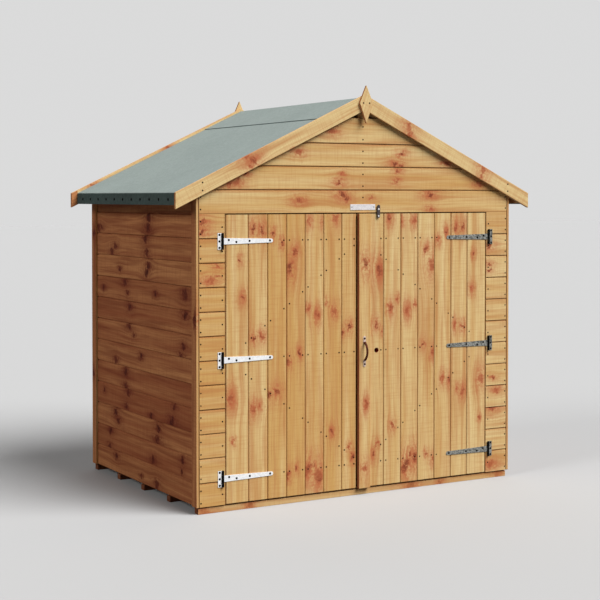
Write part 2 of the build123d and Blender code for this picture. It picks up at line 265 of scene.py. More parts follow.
SIDE_KNOTS = [
    (-0.077, 1.353, 20, 90), (-0.072, 1.3, 21, 80), (-0.053, 1.181, 16, 80), (-0.037, 1.25, 18, -80),
    (-0.077, 1.117, 17, 70), (-0.053, 1.083, 17, 60), (0.341, 1.203, 14, 60), (0.385, 1.17, 18, 55),
    (0.568, 1.291, 16, 65), (0.527, 1.294, 13, 65), (0.282, 1.088, 9, 0), (0.217, 1.024, 15, 85),
    (0.5, 0.979, 13, -60), (0.185, 0.971, 9, 40), (-0.157, 0.983, 11, -70), (-0.488, 1.0, 20, 80),
    (0.153, 0.898, 16, -75), (-0.492, 0.904, 17, 85), (0.165, 0.808, 16, -65), (0.105, 0.763, 9, -60),
    (-0.473, 0.757, 14, 20), (-0.447, 0.711, 14, 70), (0.017, 0.662, 12, -80), (0.334, 0.615, 14, -60),
    (0.21, 0.565, 17, -80), (0.21, 0.493, 17, 75), (0.493, 0.438, 9, 0), (0.18, 0.461, 14, 88),
    (0.202, 0.392, 12, 70), (0.341, 0.343, 16, -70), (0.31, 0.299, 14, 85), (0.413, 0.239, 15, -85),
    (0.421, 0.154, 14, -60), (0.334, 0.119, 15, -55), (-0.369, 0.461, 12, -70), (-0.343, 0.39, 22, -75),
    (-0.104, 0.38, 13, 60), (-0.188, 0.334, 15, 88), (-0.174, 0.275, 20, 80), (-0.125, 0.17, 15, 85),
    (-0.46, 0.222, 11, 60), (-0.454, 0.168, 10, 80), (-0.167, 0.057, 17, -80), (0.017, 0.065, 10, 80),
]
PLINTH_KNOTS = [
    (0.29, 0, 22, 0), (0.47, 0, 9, 0), (0.84, 0, 16, 0), (-0.62, 0, 10, 0), (-0.86, 0, 18, 0),
]
BARGE_KNOTS = {
    "front_left": [
        (-0.654, 1.641, 15, 10), (-0.616, 1.622, 18, 65), (-0.622, 1.594, 10, 80), (-0.403, 1.67, 7, -20),
    ],
    "front_right": [
        (0.257, 1.798, 16, 70), (0.262, 1.765, 13, -70), (0.715, 1.592, 15, 65), (0.709, 1.56, 13, -75),
    ],
    "back_left": [(-0.891, 1.517, 12, 0), (-0.452, 1.722, 12, 0)],
    "back_right": [(0.3, 1.76, 12, 40), (0.72, 1.57, 14, -40)],
}

# Places read from the frame
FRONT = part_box("front_gable")[0].y
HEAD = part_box("front_gable")[0].z
WALL_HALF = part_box("front_gable")[1].x
GABLE_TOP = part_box("front_gable")[1].z
CLAD_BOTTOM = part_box("left_cladding")[0].z
CLAD_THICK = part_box("left_cladding")[1].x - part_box("left_cladding")[0].x
EAVE_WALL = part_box("left_cladding")[1].z
COURSE = (HEAD - CLAD_BOTTOM) / DOOR_COURSES
PINS = {joint["child"]: Vector(joint["pos_m"]) for joint in frame["joints"]}
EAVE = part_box("right_roof_felt")[1].x
SIDES = (("left", -1), ("right", 1))


def points_of(node):
    return [vertex.co for vertex in frame["nodes"][node].data.vertices]


def roof_slope():
    """Rise over run of the roof, from the ridge strip's upper face."""
    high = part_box("ridge_felt")[1]
    edge = max(p.z for p in points_of("ridge_felt") if p.x > high.x - MM)
    return (high.z - edge) / high.x


ROOF_SLOPE = roof_slope()


# Shader helpers


class Shader:
    """Adds and links nodes in one new material or world."""

    def __init__(self, owner, output="ShaderNodeOutputMaterial"):
        self.owner = owner
        owner.use_nodes = True
        self.tree = owner.node_tree
        self.tree.nodes.clear()
        self.output = self.tree.nodes.new(output)

    def put(self, socket, value):
        if isinstance(value, bpy.types.NodeSocket):
            self.tree.links.new(value, socket)
        else:
            socket.default_value = value

    def node(self, kind, inputs=(), **settings):
        made = self.tree.nodes.new(kind)
        for key, value in settings.items():
            setattr(made, key, value)
        for key, value in dict(inputs).items():
            self.put(made.inputs[key], value)
        return made

    def math(self, operation, *values):
        made = self.node("ShaderNodeMath", operation=operation)
        for socket, value in zip(made.inputs, values):
            self.put(socket, value)
        return made.outputs[0]

    def chain(self, operation, values):
        total = values[0]
        for value in values[1:]:
            total = self.math(operation, total, value)
        return total

    def add(self, *values):
        return self.chain("ADD", values)

    def times(self, *values):
        return self.chain("MULTIPLY", values)

    def minus(self, first, second):
        return self.math("SUBTRACT", first, second)

    def attribute(self, name):
        made = self.node("ShaderNodeAttribute", attribute_name=name)
        return self.node("ShaderNodeSeparateXYZ", {"Vector": made.outputs["Vector"]}).outputs[:3]

    def vector(self, x, y, z):
        return self.node("ShaderNodeCombineXYZ", {"X": x, "Y": y, "Z": z}).outputs[0]

    def noise(self, vector, scale, detail=2.0, rough=0.5):
        inputs = {"Vector": vector, "Scale": scale, "Detail": detail, "Roughness": rough}
        return self.node("ShaderNodeTexNoise", inputs).outputs[0]

    def ramp(self, value, low, high, start=0.0, end=1.0):
        """A smooth step of value from low to high."""
        inputs = {"Value": value, "From Min": low, "From Max": high, "To Min": start, "To Max": end}
        return self.node("ShaderNodeMapRange", inputs, interpolation_type="SMOOTHSTEP").outputs[0]

    def mix(self, factor, first, second):
        made = self.node("ShaderNodeMix", data_type="RGBA")
        for socket, value in zip((made.inputs[0], made.inputs[6], made.inputs[7]), (factor, first, second)):
            self.put(socket, value)
        return made.outputs[2]

    def seen(self):
        """1 for what the camera sees, by itself or by way of metal or glass, and 0 for light that bounces."""
        path = self.node("ShaderNodeLightPath").outputs
        rays = [path["Is Camera Ray"], path["Is Glossy Ray"], path["Is Transmission Ray"]]
        return self.chain("MAXIMUM", rays)

    def bump(self, height, distance, strength):
        inputs = {"Height": height, "Distance": distance, "Strength": strength}
        return self.node("ShaderNodeBump", inputs).outputs[0]

    def surface(self, **inputs):
        made = self.node("ShaderNodeBsdfPrincipled")
        for key, value in inputs.items():
            self.put(made.inputs[key.replace("_", " ")], value)
        self.put(self.output.inputs[0], made.outputs[0])
        return self.owner


def rgb(red, green, blue):
    """A colour written as it shows on screen, 0 to 255, for a shader."""
    def linear(value):
        part = value / 255
        return part / 12.92 if part <= 0.04045 else ((part + 0.055) / 1.055) ** 2.4
    return (linear(red), linear(green), linear(blue), 1.0)


# Materials


def knot_field(s, along, across, stretch):
    """The nearest knot's distance in radii, its glow along the grain, and how far grain bends round knots."""
    near = FAR
    glow = 0.0
    bend = 0.0
    for i in range(KNOT_SLOTS):
        place = s.attribute(f"knot_{i}")
        size = s.math("MAXIMUM", s.times(s.math("FLOOR", place[2]), MM / 2 * KNOT_SPREAD), MM / 2)
        lean = s.math("MULTIPLY_ADD", s.math("FRACT", place[2]), math.pi, -math.pi / 2)
        run = s.math("DIVIDE", s.minus(along, place[0]), size)
        side = s.math("DIVIDE", s.minus(across, place[1]), size)
        cos = s.math("COSINE", lean)
        sin = s.math("SINE", lean)
        long = s.add(s.times(run, cos), s.times(side, sin))
        wide = s.times(s.minus(s.times(side, cos), s.times(run, sin)), stretch)
        near = s.math("MINIMUM", near, s.math("SQRT", s.add(s.times(long, long), s.times(wide, wide))))
        shine, close = [s.math("EXPONENT", s.add(s.times(run, run, fade[0]), s.times(side, side, fade[1])))
                        for fade in (GLOW_FADE, BEND_FADE)]
        glow = s.math("MAXIMUM", glow, shine)
        bend = s.add(bend, s.times(side, size, close, BEND_SHARE))
    return near, glow, bend


def wood(name, pale, deep, red, halo, knot, stretch, roughness, specular, softest=0.3):
    """Dipped pine: flowing grain, growth rings, and red-brown knots that the grain bends round."""
    s = Shader(bpy.data.materials.new(name))
    along, across, depth = s.attribute("grain")
    seed, tone, width = s.attribute("board")
    shift = s.times(seed, SEED_STEP)
    start = s.add(along, shift)
    spot = s.vector(start, across, depth)
    warp = s.node("ShaderNodeTexNoise", {"Vector": spot, "Scale": WARP_SCALE, "Detail": 2.0}).outputs["Color"]
    warp = s.node("ShaderNodeSeparateXYZ", {"Vector": warp}).outputs
    bent = [s.math("MULTIPLY_ADD", s.minus(off, 0.5), KNOT_WARP, way)
            for off, way in zip(warp, (along, across))]
    near, glow, bend = knot_field(s, *bent, stretch)
    side = s.add(s.minus(across, bend), shift)

    def grain(length, breadth, detail):
        place = s.vector(s.times(start, length), s.times(side, breadth), s.times(depth, breadth))
        return s.noise(place, 1.0, detail)

    def redden(colour, layer):
        first, full, share = REDNESS[layer]
        return s.mix(s.ramp(layers[layer], first, full, 0.0, share), colour, red)

    layers = {layer: grain(*settings) for layer, settings in GRAIN.items()}
    broad, figure, fine = layers["broad"], layers["figure"], layers["fine"]
    planed = s.vector(s.times(start, CHATTER[0]), s.times(side, CHATTER[1]), depth)
    layers["chatter"] = s.noise(planed, 1.0, 1.0)
    rings = s.ramp(s.math("SINE", s.add(s.times(side, RING_RATE), s.times(broad, RING_SWAY))), -0.2, 1.0)
    shade = s.add(s.times(tone, 0.35), s.times(broad, 0.8))
    colour = s.mix(s.ramp(shade, 0.35, 0.85), pale, deep)
    colour = redden(redden(colour, "blush"), "figure")
    colour = s.mix(s.times(rings, RING_SHARE), colour, red)
    colour = redden(redden(colour, "fine"), "chatter")
    ragged = s.noise(s.vector(s.times(start, 0.8), side, depth), 110.0, 2.0, 0.6)
    reddened = s.times(glow, s.ramp(s.add(figure, s.times(ragged, 0.7)), 0.5, 1.0, 0.1, 1.0))
    colour = s.mix(reddened, colour, halo)
    edge = s.add(near, s.times(s.minus(ragged, 0.5), 1.3))
    body = s.ramp(edge, 1.25, 0.7)
    heart = s.ramp(s.noise(spot, KNOT_VARIETY, 0.0), 0.38, 0.62, softest, 1.0)
    colour = s.mix(s.times(body, 0.7), colour, halo)
    streaks = s.ramp(s.minus(ragged, s.times(edge, 0.12)), 0.3, 0.5, 0.1, 0.8)
    colour = s.mix(s.times(body, heart, streaks), colour, knot)
    rim = s.math("MINIMUM", across, s.minus(width, across))
    colour = s.mix(s.ramp(rim, 0.004, 0.0, 0.0, 0.35), colour, red)
    height = s.minus(s.add(s.times(fine, 0.6), s.times(rings, 0.25)), s.times(body, 0.3))
    rough = s.add(roughness, s.times(fine, 0.18))
    normal = s.bump(height, 0.0005, 0.5)
    return s.surface(Base_Color=colour, Roughness=rough, Specular_IOR_Level=specular, Normal=normal)


def felt(name, pale, deep, speck):
    """Mineral felt: fine stone granules over bitumen, with faint cloudy wear."""
    s = Shader(bpy.data.materials.new(name))
    place = s.node("ShaderNodeTexCoord").outputs["Object"]
    cloud = s.noise(place, 5.0, 2.0)
    patch = s.noise(place, 60.0, 2.0)
    grit = s.noise(place, 650.0, 2.0, 0.7)
    shade = s.add(s.times(cloud, 0.4), s.times(patch, 0.6))
    colour = s.mix(s.ramp(shade, 0.3, 0.7), pale, deep)
    colour = s.mix(s.ramp(grit, 0.5, 0.75, 0.0, 0.5), colour, speck)
    normal = s.bump(s.add(grit, s.times(patch, 0.5)), 0.0008, 0.6)
    return s.surface(Base_Color=colour, Roughness=0.93, Specular_IOR_Level=0.2, Normal=normal)


def metal(name, bright, dull, metallic, roughness, specular=0.5):
    """Plated or lacquered metal with faint spangle and rubbed patches."""
    s = Shader(bpy.data.materials.new(name))
    place = s.node("ShaderNodeTexCoord").outputs["Object"]
    cells = s.node("ShaderNodeTexVoronoi", {"Vector": place, "Scale": 170.0}).outputs["Color"]
    tint = s.node("ShaderNodeSeparateXYZ", {"Vector": cells}).outputs[0]
    wear = s.noise(place, 45.0, 3.0)
    colour = s.mix(s.ramp(s.add(s.times(tint, 0.5), s.times(wear, 0.5)), 0.3, 0.75), bright, dull)
    rough = s.add(roughness, s.times(wear, 0.15))
    normal = s.bump(wear, 0.0002, 0.4)
    return s.surface(Base_Color=colour, Metallic=metallic, Roughness=rough, Specular_IOR_Level=specular,
                     Normal=normal)


def matt(name, colour):
    """One plain dull colour, for small dark heads and the painted shade of a bore's wall."""
    s = Shader(bpy.data.materials.new(name))
    return s.surface(Base_Color=colour, Roughness=0.9, Specular_IOR_Level=0.05)


FRONT_WOOD = wood("pine_front", rgb(217, 191, 136), rgb(198, 156, 92), rgb(178, 118, 66),
                  rgb(176, 94, 58), rgb(104, 44, 22), 1.8, 0.55, 0.2)
# Darker copy of the front pine: painted shade in the up-looking hollow of each cladding board
HOLLOW_PAINTED_SHADE = wood("pine_hollow_painted_shade", rgb(188, 156, 106), rgb(168, 124, 70), rgb(150, 92, 50),
                   rgb(150, 78, 48), rgb(90, 40, 22), 1.8, 0.6, 0.1)
# Darker, redder copy of the pine: partly the walls' redder stain, partly painted shade on the side and back
# walls and on faces that look left
RED_STAIN_AND_SHADE_PINE = wood("pine_red_stain_and_painted_shade", rgb(196, 134, 86), rgb(154, 88, 56), rgb(122, 60, 38),
                 rgb(112, 50, 34), rgb(62, 24, 18), 1.05, 0.7, 0.06, 0.75)
# Darker copy of the pine: painted shade on the floor bearers under the walls
BEARER_PAINTED_SHADE = wood("pine_bearer_painted_shade", rgb(134, 84, 56), rgb(106, 60, 42), rgb(88, 46, 32),
                 rgb(84, 40, 28), rgb(50, 22, 16), 1.05, 0.75, 0.05)
BARE_WOOD = wood("pine_bare", rgb(222, 190, 138), rgb(208, 168, 112), rgb(188, 138, 86),
                 rgb(180, 112, 72), rgb(124, 62, 40), 1.5, 0.65, 0.15)
FELT = felt("mineral_felt", rgb(140, 150, 146), rgb(130, 140, 136), rgb(94, 102, 100))
# Darker copy of the felt: painted shade on turned-down and steep faces, also used for the bitumen beads
FELT_SHADE_AND_BITUMEN = felt("felt_painted_shade_and_bitumen", rgb(72, 85, 81), rgb(58, 69, 66), rgb(38, 46, 44))
# Whiter copy of the galvanised steel on the left hinges: a painted reflection
ZINC_PAINTED_REFLECTION = metal("zinc_painted_reflection", rgb(240, 240, 240), rgb(222, 224, 226), 0.05, 0.45)
ZINC_GREY = metal("zinc_grey", rgb(142, 142, 136), rgb(74, 76, 72), 0.3, 0.5)
# Pale metal for the turn button's pivot rivet and tip head: painted highlights
STEEL_RIVET_AND_HIGHLIGHT = metal("steel_rivet_and_painted_highlight", rgb(236, 232, 228), rgb(200, 196, 190), 0.4, 0.25)
BLACK_METAL = metal("black_lacquer", rgb(20, 20, 21), rgb(12, 12, 13), 0.0, 0.6)
DARK_ZINC = metal("dark_zinc", rgb(72, 64, 66), rgb(40, 36, 38), 0.4, 0.35)
BRONZE = metal("dark_bronze", rgb(84, 36, 18), rgb(52, 22, 12), 0.0, 0.6, 0.1)
FOOT_METAL = metal("dull_foot", rgb(212, 190, 176), rgb(178, 152, 138), 0.1, 0.45)
NAIL = matt("nail_head", rgb(30, 19, 8))
SCREW = matt("screw_head", rgb(12, 12, 12))
# Red-brown for the keyhole's bored wall: painted shade inside the hole
BORE_PAINTED_SHADE = matt("bore_painted_shade", rgb(150, 64, 46))
SIGN = metal("bare_plate", rgb(220, 216, 216), rgb(204, 200, 202), 0.1, 0.4)

# Pine for a cladding board's face with painted shade in its hollow, and the painted shade and lit pine of a
# trim's faces
FACE_AND_HOLLOW_SHADE = [FRONT_WOOD, HOLLOW_PAINTED_SHADE]
WALL_STAIN_AND_SHADE = [RED_STAIN_AND_SHADE_PINE, RED_STAIN_AND_SHADE_PINE]
TRIM_SHADE_AND_LIT = [RED_STAIN_AND_SHADE_PINE, FRONT_WOOD]


# Mesh builders


class Pieces:
    """Gathers boards and timbers into one mesh, each with its own grain, tone and knots."""

    def __init__(self, seed):
        self.random = random.Random(seed)
        self.points = []
        self.faces = []
        self.grain = []
        self.board = []
        self.knots = []

    def add(self, points, faces, grain, width, knots, tone=PLAIN_TONE):
        base = len(self.points)
        mark = (self.random.uniform(0, 10), self.random.uniform(*tone), width)
        codes = [knot_code(*knot) for knot in knots][:KNOT_SLOTS]
        codes += [NO_KNOT] * (KNOT_SLOTS - len(codes))
        self.points += [tuple(p) for p in points]
        self.faces += [[base + i for i in face] for face in faces]
        self.grain += grain
        self.board += [mark] * len(points)
        self.knots += [codes] * len(points)

    def finish(self, name, materials, body, node, choose=None):
        mesh = mesh_of(name, self.points, self.faces)
        write_vectors(mesh, "grain", self.grain)
        write_vectors(mesh, "board", self.board)
        for i in range(KNOT_SLOTS):
            write_vectors(mesh, f"knot_{i}", [codes[i] for codes in self.knots])
        face_outward(mesh)
        place(name, mesh, materials, body, "dipped_pine", [node], choose)


def knot_code(along, across, radius, lean):
    """A knot as three numbers: its place, and its radius in half millimetres with its lean as fraction."""
    return (along, across, round(radius * 2) + LEAN_ROOM[0] + LEAN_ROOM[1] * ((lean + 90) % 180) / 180)


def write_vectors(mesh, name, values):
    layer = mesh.attributes.new(name, "FLOAT_VECTOR", "POINT")
    layer.data.foreach_set("vector", [part for value in values for part in value])


def face_outward(mesh):
    work = bmesh.new()
    work.from_mesh(mesh)
    bmesh.ops.recalc_face_normals(work, faces=work.faces)
    work.to_mesh(mesh)
    work.free()


def mesh_of(name, points, faces):
    mesh = bpy.data.meshes.new(name)
    mesh.from_pydata(points, [], faces)
    return mesh


def baked(name, work):
    """A mesh written from a bmesh, which is freed."""
    mesh = bpy.data.meshes.new(name)
    work.to_mesh(mesh)
    work.free()
    return mesh


def band(first, count):
    """Faces between a ring of points and the ring after it."""
    pairs = [(first + i, first + (i + 1) % count) for i in range(count)]
    return [[a, b, b + count, a + count] for a, b in pairs]


def prism(first, count):
    """A band with both its ends closed."""
    return band(first, count) + [[start + i for i in range(count)] for start in (first, first + count)]


def put_in_scene(name, data):
    made = bpy.data.objects.new(name, data)
    bpy.context.scene.collection.objects.link(made)
    return made


def place(name, mesh, materials, body, slot, nodes=(), choose=None):
    """Puts a finished mesh in the scene on its body, in place of the nodes it stands for."""
    piece = put_in_scene(name, mesh)
    for material in materials:
        mesh.materials.append(material)
    if choose:
        for face in mesh.polygons:
            face.material_index = choose(face)
    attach(piece, body)
    if nodes:
        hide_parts(*nodes)


def bored(points, faces, centre, radius):
    """The same solid with a round hole through it along Y."""
    blank = mesh_of("blank", points, faces)
    face_outward(blank)
    work = bmesh.new()
    bmesh.ops.create_cone(work, cap_ends=True, segments=BORE_SIDES, radius1=radius, radius2=radius,
                          depth=radius * BORE_DEPTH_SHARE)
    turn = Y_AXIS.to_track_quat("Z", "X").to_matrix()
    bmesh.ops.rotate(work, verts=work.verts, cent=(0, 0, 0), matrix=turn)
    bmesh.ops.translate(work, verts=work.verts, vec=centre)
    drill = baked("drill", work)
    whole = put_in_scene("blank", blank)
    tool = put_in_scene("drill", drill)
    cut = whole.modifiers.new("bore", "BOOLEAN")
    cut.operation = "DIFFERENCE"
    cut.object = tool
    done = whole.evaluated_get(bpy.context.evaluated_depsgraph_get()).to_mesh()
    result = [v.co.copy() for v in done.vertices], [list(f.vertices) for f in done.polygons]
    for piece, mesh in ((whole, blank), (tool, drill)):
        bpy.data.objects.remove(piece)
        bpy.data.meshes.remove(mesh)
    return result


def add_board(pieces, origin, axes, profile, ends, knots, bore=None, tone=PLAIN_TONE):
    """One straight board: a profile of (across, depth) run along its length between two cut ends."""
    along, across, inward = axes
    count = len(profile)
    points = []
    for end in (0, 1):
        points += [origin + along * ends(a, d)[end] + across * a + inward * d for a, d in profile]
    faces = prism(0, count)
    if bore:
        points, faces = bored(points, faces, *bore)
    grain = [tuple((p - origin).dot(axis) for axis in axes) for p in points]
    pieces.add(points, faces, grain, max(a for a, d in profile), knots, tone)


def shiplap_profile(height, thick, rebated, tongued, kinks):
    """A cladding board's section: flat face, hollow top edge with a tongue, rebated foot."""
    c = FACE_CHAMFER
    points = [(0, c), (c, 0)] + [(a, 0) for a in kinks]
    if tongued:
        points += [(height - SCOOP_HEIGHT * h, SCOOP_DEPTH * d) for h, d in SCOOP_SHARES]
        points += [(height + TONGUE, SCOOP_DEPTH), (height + TONGUE, thick)]
    else:
        points += [(height - c, 0), (height, c), (height, thick)]
    points += [(a, thick) for a in reversed(kinks)]
    if rebated:
        return points + [(TONGUE + MM, thick), (TONGUE + MM, SCOOP_DEPTH - MM), (0, SCOOP_DEPTH - MM)]
    return points + [(0, thick)]


def matched_profile(width, thick, groove=GROOVE_WIDTH, depth=GROOVE_DEPTH):
    """A matched board's section with a small groove at both face edges."""
    return [(0, thick), (0, depth), (groove, 0), (width - groove, 0), (width, depth), (width, thick)]


def scatter_knots(rng, length, width, spacing):
    """Random knots along a board, one or two to each spacing."""
    knots = []
    run = rng.uniform(FIRST_KNOT, spacing)
    while run < length - LAST_KNOT:
        radius = min(rng.uniform(*KNOT_RADII), width * KNOT_RADIUS_TO_WIDTH)
        lean = rng.choice((-1, 1)) * rng.uniform(*KNOT_LEANS)
        knots.append((run, width * rng.uniform(*KNOT_ACROSS_SHARES), radius, lean))
        if rng.random() < TWIN_CHANCE:
            near = run + rng.uniform(-TWIN_STEP, TWIN_STEP)
            knots.append((near, width * rng.uniform(*TWIN_ACROSS_SHARES), radius * TWIN_SHARE, -lean))
        run += spacing * rng.uniform(*SPACING_SHARES)
    return knots


# Cladding


def courses(bottom, top):
    """The lower and upper edge of each cladding course between two heights."""
    lines = [bottom]
    height = CLAD_BOTTOM + COURSE
    while height < top - COURSE * LAST_COURSE_SHARE:
        if height > bottom + MM:
            lines.append(height)
        height += COURSE
    lines.append(top)
    return list(zip(lines, lines[1:]))


def in_hollow(face):
    """Picks the painted shade, a darker copy of the pine, for the hollow top edge of a cladding board."""
    return 1 if HOLLOW_TILT[0] < face.normal.z < HOLLOW_TILT[1] else 0


def clad_wall(name, node, origin, axes, span, materials, knots, seed, tone=PLAIN_TONE):
    """Cladding in courses; span gives a board's two ends at a height."""
    low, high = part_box(node)
    pieces = Pieces(seed)
    for bottom, top in courses(low.z, high.z):
        height = top - bottom
        bends = bottom + 2 * MM < EAVE_WALL < top - 2 * SCOOP_HEIGHT
        kinks = [EAVE_WALL - bottom] if bends else []
        profile = shiplap_profile(height, CLAD_THICK, bottom > low.z + MM, top < high.z - MM, kinks)
        start, stop = span(bottom)
        own = [(x - start, z - bottom, radius, lean) for x, z, radius, lean in knots if bottom <= z < top]
        if not knots:
            own = scatter_knots(pieces.random, stop - start, height, CLAD_SPACING)

        def ends(a, d, bottom=bottom, start=start):
            first, last = span(bottom + a)
            return first - start, last - start

        back = pieces.random.uniform(0, CLAD_STAGGER)
        base = origin + axes[0] * start + axes[1] * bottom + axes[2] * back
        add_board(pieces, base, axes, profile, ends, own, tone=tone)
    pieces.finish(name, materials, "shed", node, in_hollow)


def side_walls():
    for side, sign in SIDES:
        node = f"{side}_cladding"
        low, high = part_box(node)
        face = low.x if sign < 0 else high.x
        axes = (Y_AXIS, Z_AXIS, X_AXIS * -sign)
        knots = SIDE_KNOTS if sign < 0 else [(-y, z, radius, -lean) for y, z, radius, lean in SIDE_KNOTS]
        # The side walls take the redder pine, partly painted shade
        clad_wall(f"{side}_wall_boards", node, X_AXIS * face, axes, lambda z: (low.y, high.y),
                  WALL_STAIN_AND_SHADE, knots, SEEDS["side"] + sign)


def gable_span(z):
    """The end wall's two edges at a height, under the roof."""
    half_top = max(p.x for p in points_of("front_gable") if p.z > GABLE_TOP - MM)
    share = max(0, (z - EAVE_WALL) / (GABLE_TOP - EAVE_WALL))
    half = WALL_HALF + (half_top - WALL_HALF) * min(share, 1)
    return END_GAP - half, half - END_GAP


def end_walls():
    axes = (X_AXIS, Z_AXIS, Y_AXIS)
    origin = Y_AXIS * FRONT
    clad_wall("front_gable_boards", "front_gable", origin, axes, gable_span, FACE_AND_HOLLOW_SHADE, GABLE_KNOTS,
              SEEDS["gable"])
    for side, sign in SIDES:
        node = f"front_{side}_panel"
        low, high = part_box(node)
        knots = [knot for knot in PANEL_KNOTS if low.x < knot[0] < high.x]
        ends = (low.x + END_GAP, high.x) if sign < 0 else (low.x, high.x - END_GAP)
        clad_wall(f"front_{side}_boards", node, origin, axes, lambda z: ends, FACE_AND_HOLLOW_SHADE, knots,
                  SEEDS["panel"] + sign, PANEL_TONES[side])
    origin = Y_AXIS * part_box("back_cladding")[1].y
    axes = (X_AXIS, Z_AXIS, -Y_AXIS)
    # The back wall takes the redder pine, partly painted shade
    clad_wall("back_wall_boards", "back_cladding", origin, axes, gable_span, WALL_STAIN_AND_SHADE, [], SEEDS["back"])


# Doors


def door_edges(side, sign):
    """Each door board's hinge-side and free-side edge, from the hinge inward."""
    low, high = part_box(f"{side}_door_boards")
    edge = high.x if sign > 0 else low.x
    widths = [DOOR_FIRST_BOARD] + [DOOR_BOARD] * DOOR_BOARD_COUNT
    left = high.x - low.x - sum(widths)
    widths += [DOOR_FIRST_BOARD, left - DOOR_FIRST_BOARD] if left > DOOR_FIRST_BOARD else [left]
    edges = []
    for width in widths:
        edges.append((edge, edge - sign * width))
        edge -= sign * width
    return edges


def keyhole():
    """Middle and radius of the bore through the right door."""
    low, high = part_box("right_door_boards")
    rim = [p for p in points_of("right_door_boards") if low.z + MM < p.z < high.z - MM]
    xs = [p.x for p in rim]
    zs = [p.z for p in rim]
    centre = Vector(((min(xs) + max(xs)) / 2, low.y, (min(zs) + max(zs)) / 2))
    return centre, (max(xs) - min(xs)) / 2


KEYHOLE = keyhole()


def in_keyhole(face):
    """Picks the bore's painted shade for the faces on the keyhole's wall."""
    centre, radius = KEYHOLE
    away = math.hypot(face.center.x - centre.x, face.center.z - centre.z)
    return 1 if away < radius * KEYHOLE_WALL_SHARE and abs(face.normal.y) < LEVEL else 0


def door_shades(face):
    """Picks the bore's painted shade for the keyhole's wall and the side pine's painted shade for the boards'
    left edges.
    """
    edge = face.normal.x < -FACING and abs(face.normal.z) < SQUARE
    return in_keyhole(face) or (2 if edge else 0)


def door_boards(side, sign):
    node = f"{side}_door_boards"
    low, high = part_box(node)
    pieces = Pieces(SEEDS["door"] + sign)
    axes = (Z_AXIS, X_AXIS * -sign, Y_AXIS)
    for outer, inner in door_edges(side, sign):
        first, last = sorted((outer, inner))
        base = Vector((outer, low.y + pieces.random.uniform(0, DOOR_STAGGER), low.z + DOOR_FOOT))
        own = []
        for x, z, radius, lean in DOOR_KNOTS + (RIGHT_DOOR_KNOTS if sign > 0 else []):
            if first <= x * sign < last:
                own.append((z - base.z, abs(outer - x * sign), radius, lean))
        profile = matched_profile(last - first - BOARD_GAP, high.y - low.y)
        bore = KEYHOLE if first < KEYHOLE[0].x < last else None
        ends = (0, high.z - base.z)
        add_board(pieces, base, axes, profile, lambda a, d: ends, own, bore, DOOR_TONES[side])
    # Left-looking board edges take painted shade, and the keyhole's wall takes the bore's painted shade
    pine_and_shades = [FRONT_WOOD, BORE_PAINTED_SHADE, RED_STAIN_AND_SHADE_PINE]
    pieces.finish(f"{side}_door_matchboards", pine_and_shades, f"{side}_door", node, door_shades)


# Floor and roof boards


def evenly(first, last, size):
    """Start and width of each board in a row of equal ones, about as wide as size."""
    count = round((last - first) / size)
    width = (last - first) / count
    return [(first + width * i, width) for i in range(count)]


def floor_boards():
    low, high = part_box("floor_deck")
    pieces = Pieces(SEEDS["floor"])
    for x, width in evenly(low.x, high.x, FLOOR_BOARD):
        base = Vector((x, low.y, high.z))
        own = scatter_knots(pieces.random, high.y - low.y, width, FLOOR_SPACING)
        profile = matched_profile(width - BOARD_GAP, high.z - low.z, BOARD_GAP, BOARD_GAP)
        add_board(pieces, base, (Y_AXIS, X_AXIS, -Z_AXIS), profile, lambda a, d: (0, high.y - low.y), own)
    pieces.finish("floor_boards", [BARE_WOOD], "shed", "floor_deck")


def roof_boards():
    """Matched boards down each slope, cut upright at the ridge and the eave, grooved on the underside."""
    for side, sign in SIDES:
        node = f"{side}_roof_boards"
        low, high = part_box(node)
        under = min(p.z for p in points_of(node) if abs(p.x) < MM)
        down = Vector((sign, 0, -ROOF_SLOPE)).normalized()
        up = Vector((sign * ROOF_SLOPE, 0, 1)).normalized()
        thick = (high.z - under) * up.z
        length = (high.x - low.x) / abs(down.x)
        pieces = Pieces(SEEDS["roof"] + sign)
        for y, width in evenly(low.y, high.y, ROOF_BOARD):
            base = Vector((0, y, under))
            own = scatter_knots(pieces.random, length, width, ROOF_SPACING)
            profile = matched_profile(width - BOARD_GAP, thick)
            add_board(pieces, base, (down, Y_AXIS, up), profile,
                      lambda a, d: (-d * ROOF_SLOPE, length - d * ROOF_SLOPE), own)
        pieces.finish(f"{side}_roof_boarding", [BARE_WOOD], "shed", node)


# Framing, trim and metalwork, taken solid by solid from the frame


def solids_of(node):
    """Each solid of a node as a clean mesh of its own, without the seams between flat triangles."""
    work = bmesh.new()
    work.from_mesh(frame["nodes"][node].data)
    bmesh.ops.remove_doubles(work, verts=work.verts, dist=WELD)
    bmesh.ops.dissolve_limit(work, angle_limit=FLAT_ANGLE, verts=work.verts, edges=work.edges)
    work.faces.index_update()
    left = set(work.faces)
    solids = []
    while left:
        queue = [min(left, key=lambda face: face.index)]
        group = set(queue)
        while queue:
            for edge in queue.pop().edges:
                fresh = [face for face in edge.link_faces if face not in group]
                group.update(fresh)
                queue += fresh
        left -= group
        solids.append(copied(sorted(group, key=lambda face: face.index)))
    work.free()
    return solids


def copied(faces):
    solid = bmesh.new()
    made = {}
    for face in faces:
        for vert in face.verts:
            if vert not in made:
                made[vert] = solid.verts.new(vert.co)
        solid.faces.new([made[vert] for vert in face.verts])
    bmesh.ops.recalc_face_normals(solid, faces=solid.faces)
    return solid


def solid_boxes(node):
    """The lowest and highest corner of each solid of a node."""
    boxes = []
    for solid in solids_of(node):
        spots = [vert.co for vert in solid.verts]
        low = Vector([min(p[i] for p in spots) for i in range(3)])
        high = Vector([max(p[i] for p in spots) for i in range(3)])
        boxes.append((low, high))
        solid.free()
    return boxes


